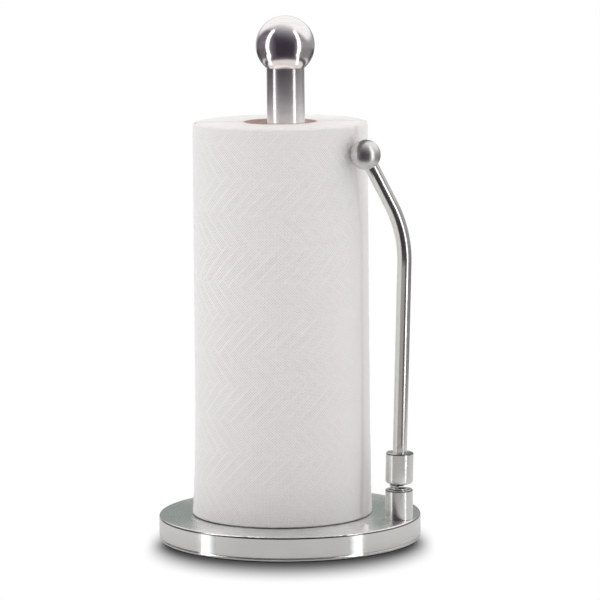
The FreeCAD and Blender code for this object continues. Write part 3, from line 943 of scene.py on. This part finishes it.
def strip_card(name, inner, outer):
    """Tall bright card between two azimuths, with its foot running in over the table."""
    foot, distance, top = 0.30, 0.45, Vector((0, 0, 0.95))
    ways = [towards(a) for a in np.linspace(inner, outer, 17)]
    lines = [[way * foot + ABOVE_TABLE, way * distance + ABOVE_TABLE, way * distance + top] for way in ways]
    light_band(name, lines, WHITE, strength=3.0, inner_share=0.1, fade=0.35)


def floor_strip(name, inner, outer):
    """Bright streak on the table that the base's side shows between two azimuths of its rim."""
    rim_r = radius_of("base_cover")
    lines = []
    for a in np.linspace(inner, outer, 17):
        foot = towards(a) * rim_r + ABOVE_TABLE
        lines.append([foot + towards(2 * a) * reach for reach in (0.002, 0.20)])
    light_band(name, lines, (0.96, 0.98, 1.0), strength=1.25, inner_share=0.45, fade=0.6)


def mirrored_card(name, spots, reach, colour, strength):
    """Card that each spot of a polished surface shows to the camera. spots is a grid of (place, normal)."""
    lit(grid_card(name, [[place + (2 * normal.dot(VIEW) * normal - VIEW) * reach for place, normal in row]
                         for row in spots]), colour, strength)


def finial_streak(name, spots, width):
    """The low end of a bright streak on the finial, through places given across and up its visible face."""
    radius = radius_of("finial_ball")
    centre = Vector((0, 0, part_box("finial_ball")[1].z - radius))
    up = VIEW.cross(RIGHT)

    def spot(across, rise):
        normal = RIGHT * across + up * rise + VIEW * sqrt(1 - across ** 2 - rise ** 2)
        return centre + normal * radius, normal

    grid = [[spot(across + side, rise) for side in (-width / 2, width / 2)] for across, rise in spots]
    mirrored_card(name, grid, 3.0 * MM, WHITE, 1.25)


def round_spots(line, radius, first, last):
    """Grid of (place, normal) on a round rod along line, between two azimuths at either end of it."""
    grid = []
    for share, (middle, way) in zip(np.linspace(0, 1, len(line)), line):
        row = []
        start = first[0] + (first[1] - first[0]) * share
        end = last[0] + (last[1] - last[0]) * share
        for a in np.linspace(start, end, 6):
            normal = (towards(a) - way * way.dot(towards(a))).normalized()
            row.append((middle + normal * radius, normal))
        grid.append(row)
    return grid


def arm_line():
    """Places and directions along the middle of the arm's tube, from its ferrule to the ball."""
    up = Matrix.Rotation(lean, 3, lean_axis) @ Vector((0, 0, 1))
    to_tip = tip_centre - pivot
    off = (to_tip - up * to_tip.dot(up)).length
    corner = pivot + up * (to_tip.dot(up) - sqrt(ARM_REACH ** 2 - off ** 2))
    run = (tip_centre - corner).normalized()
    start = corner - up * BEND_LENGTH
    end = corner + run * BEND_LENGTH
    line = [((pivot + up * SLEEVE_TOP).lerp(start, t), up) for t in np.linspace(0, 1, 7)]
    for t in np.linspace(0.1, 0.9, 9):
        line.append((start.lerp(corner, t).lerp(corner.lerp(end, t), t), up.lerp(run, t).normalized()))
    return line + [(end.lerp(tip_centre, t), run) for t in (0.0, 0.35, 0.68)]


def reflected_cards():
    """Cards close to the arm and its ferrules, which stand for the lit and shaded walls of the room."""
    foot_r = radius_of("lower_ferrule")
    tube = arm_line()

    def sleeves(low, high=64 * MM):
        return [(Vector((pivot.x, pivot.y, height)), Vector((0, 0, 1))) for height in (low, high)]

    for name, line, radius, first, last, reach, colour, strength in (
        ("ferrule_streak", sleeves(21 * MM), foot_r, (-37.5, -37.5), (-31, -31), 18 * MM, WHITE, 1.0),
        ("ferrule_wall", sleeves(43 * MM), foot_r, (-27, -27), (20, 20), 19 * MM, (1.0, 0.99, 0.97), 0.45),
        ("arm_side_wall", tube, ARM_R, (-44, -48), (-26, -17), 24 * MM, (1.0, 0.99, 0.95), 0.71),
        ("arm_front_wall", tube[:7], ARM_R, (-26, -26), (7, 7), 26 * MM, (1.0, 0.98, 0.95), 0.34),
    ):
        mirrored_card(name, round_spots(line, radius, first, last), reach, colour, strength)


def paper_shades():
    """Rings over the roll's top, which the finial shows: painted reflections, dark at the rim, pale in the
    core's mouth.
    """
    height = roll_high.z + 0.4 * MM
    # painted dark reflection over the roll's rim
    rim = [circle(r, height, count=64) for r in (48.5 * MM, 67 * MM)]
    lit(grid_card("rim_shade", rim), (0.10, 0.088, 0.10))
    # painted pale reflection over the core's mouth
    height = roll_high.z - 0.3 * MM
    post_r = radius_of("post_tube") + 0.2 * MM
    mouth = [circle(post_r, height, count=64), circle(core_r, height, roll_axis, 64)]
    lit(grid_card("mouth_pale_reflection", mouth), (1.0, 0.95, 0.93))


def soft_lamp(name, azimuth, size, watts):
    """Low lamp at one side, turned to the roll. Neither the camera nor metal shows it."""
    data = bpy.data.lights.new(name, "AREA")
    data.shape = "RECTANGLE"
    data.size, data.size_y = size
    data.energy = watts
    lamp = in_scene(name, data)
    aim = Vector((0, 0, 0.15))
    way = towards(azimuth, 12)
    distance = 1.4
    turn = way.to_track_quat("Z", "Y").to_matrix().to_4x4()
    lamp.matrix_world = Matrix.Translation(aim + way * distance) @ turn
    lamp.visible_camera = False
    lamp.visible_glossy = False


SHADOW_SHIFT = 0.0276         # the patch of painted shadow on the table: how far in front its middle lies, its half depth and its half width
SHADOW_DEPTH = 0.0963         # depth and its half width
SHADOW_WIDTH = 0.0902
SHADOW_SOFT = 0.0086          # half the width of its soft edge at the sides
LOW_VIEW = 0.243              # the edge is softer in front by as much as a low view flattens the table
TABLE_LIT = 0.78              # how white the table is for the light that it throws on the object, to the camera, within the patch of painted shadow and in the metal
TABLE_SEEN = 0.10             # to the camera, within the shaded patch
TABLE_IN_METAL = 0.56         # and in the metal


def studio_floor():
    """White table: lit near the object, where the camera sees it dark grey in a patch, a painted shadow
    that its real shading darkens further, and plain white further out.
    """
    size = 14.0
    floor = mesh_object(
        "floor", [(-size, -size, 0), (size, -size, 0), (size, size, 0), (-size, size, 0)], [(0, 1, 2, 3)])
    made = bpy.data.materials.new("floor_white")
    g = bare_tree(made)
    from_middle = g.vectors("SUBTRACT", g.place(), tuple(towards(0) * SHADOW_SHIFT))
    ahead = g.dot(from_middle, towards(0))
    aside = g.dot(from_middle, RIGHT)
    flat_depth = SHADOW_DEPTH * LOW_VIEW
    flat_ahead = g.times(ahead, LOW_VIEW)
    share = g.vector(g.over(aside, SHADOW_WIDTH), g.over(flat_ahead, flat_depth), 0.0)
    steepness = g.vector(g.over(aside, SHADOW_WIDTH ** 2), g.over(flat_ahead, flat_depth ** 2), 0.0)
    share = g.vectors("LENGTH", share, output=1)
    steepness = g.maths("MAXIMUM", g.vectors("LENGTH", steepness, output=1), 0.1)
    away = g.over(g.times(g.minus(share, 1.0), share), steepness)
    path = g.add("ShaderNodeLightPath").outputs
    plain = g.times(g.ease(away, -SHADOW_SOFT, SHADOW_SOFT), path["Is Camera Ray"])
    # painted shadow: to the camera the table is dark grey within the patch
    shade = g.plus(g.span(path["Is Camera Ray"], TABLE_LIT, TABLE_SEEN),
                   g.span(path["Is Glossy Ray"], 0.0, TABLE_IN_METAL - TABLE_LIT))
    cloth = g.add("ShaderNodeBsdfDiffuse", {"Color": shade})
    white = g.add("ShaderNodeEmission", {"Color": WHITE, "Strength": 1.0})
    blend = g.add("ShaderNodeMixShader", {0: plain, 1: cloth.outputs[0], 2: white.outputs[0]})
    g.add("ShaderNodeOutputMaterial", {0: blend.outputs[0]})
    floor.data.materials.append(made)


DIM_ROOM = 0.21
OPEN_ROOM = 1.72              # light from above and behind, where the set is open


def white_world():
    """White room. The camera and metal see it plain, and the light it gives comes from one side."""
    world = bpy.data.worlds.new("white_room")
    scene.world = world
    g = bare_tree(world)
    path = g.add("ShaderNodeLightPath").outputs
    seen = g.maths("MAXIMUM", path["Is Camera Ray"], path["Is Glossy Ray"])
    seen = g.maths("MAXIMUM", seen, path["Is Transmission Ray"])
    way = g.add("ShaderNodeTexCoord").outputs["Generated"]
    facing = g.dot(g.vectors("NORMALIZE", way), towards(180, 62))
    open_share = g.ease(facing, 0.35, 0.85)
    light = g.span(open_share, DIM_ROOM, OPEN_ROOM)
    strength = g.maths("MAXIMUM", g.times(light, g.minus(1.0, seen)), seen)
    tint = g.mix_colour(open_share, (1.0, 0.90, 0.86), WHITE)
    tint = g.mix_colour(seen, tint, WHITE)
    room = g.add("ShaderNodeBackground", {"Color": tint, "Strength": strength})
    g.add("ShaderNodeOutputWorld", {0: room.outputs[0]})


def grey_card():
    """Low grey card behind the object, which darkens the base's top on both sides of the roll."""
    distance, half_width, height = 0.35, 0.22, 0.24
    back = towards(180) * distance
    side = RIGHT * half_width
    up = Vector((0, 0, height))
    lines = [[back - side, back + side], [back - side + up, back + side + up]]
    lit(grid_card("grey_card", lines), (0.28, 0.31, 0.29))


def studio():
    set_camera()
    white_world()
    studio_floor()
    dark_tent()
    floor_cloth()
    strip_card("left_strip", inner=-64, outer=-79)
    strip_card("right_strip", inner=48, outer=61)
    floor_strip("left_floor_strip", inner=-33.7, outer=-41.9)
    floor_strip("right_floor_strip", inner=26.0, outer=33.0)
    grey_card()
    left_spots = ((-0.58, -0.36), (-0.55, -0.48), (-0.52, -0.58), (-0.47, -0.70))
    right_spots = ((0.44, -0.30), (0.43, -0.42), (0.41, -0.54), (0.38, -0.70))
    finial_streak("finial_left_streak", left_spots, width=0.11)
    finial_streak("finial_right_streak", right_spots, width=0.09)
    reflected_cards()
    paper_shades()
    soft_lamp("left_lamp", azimuth=-70, size=(1.0, 1.5), watts=7.7)
    soft_lamp("right_lamp", azimuth=58, size=(2.0, 1.8), watts=10.6)
    scene.view_settings.view_transform = "Standard"


# ---- put together ----

finish_cad_nodes()
core_tube()
outer_sheets()
wound_paper()
spring_halves()
studio()
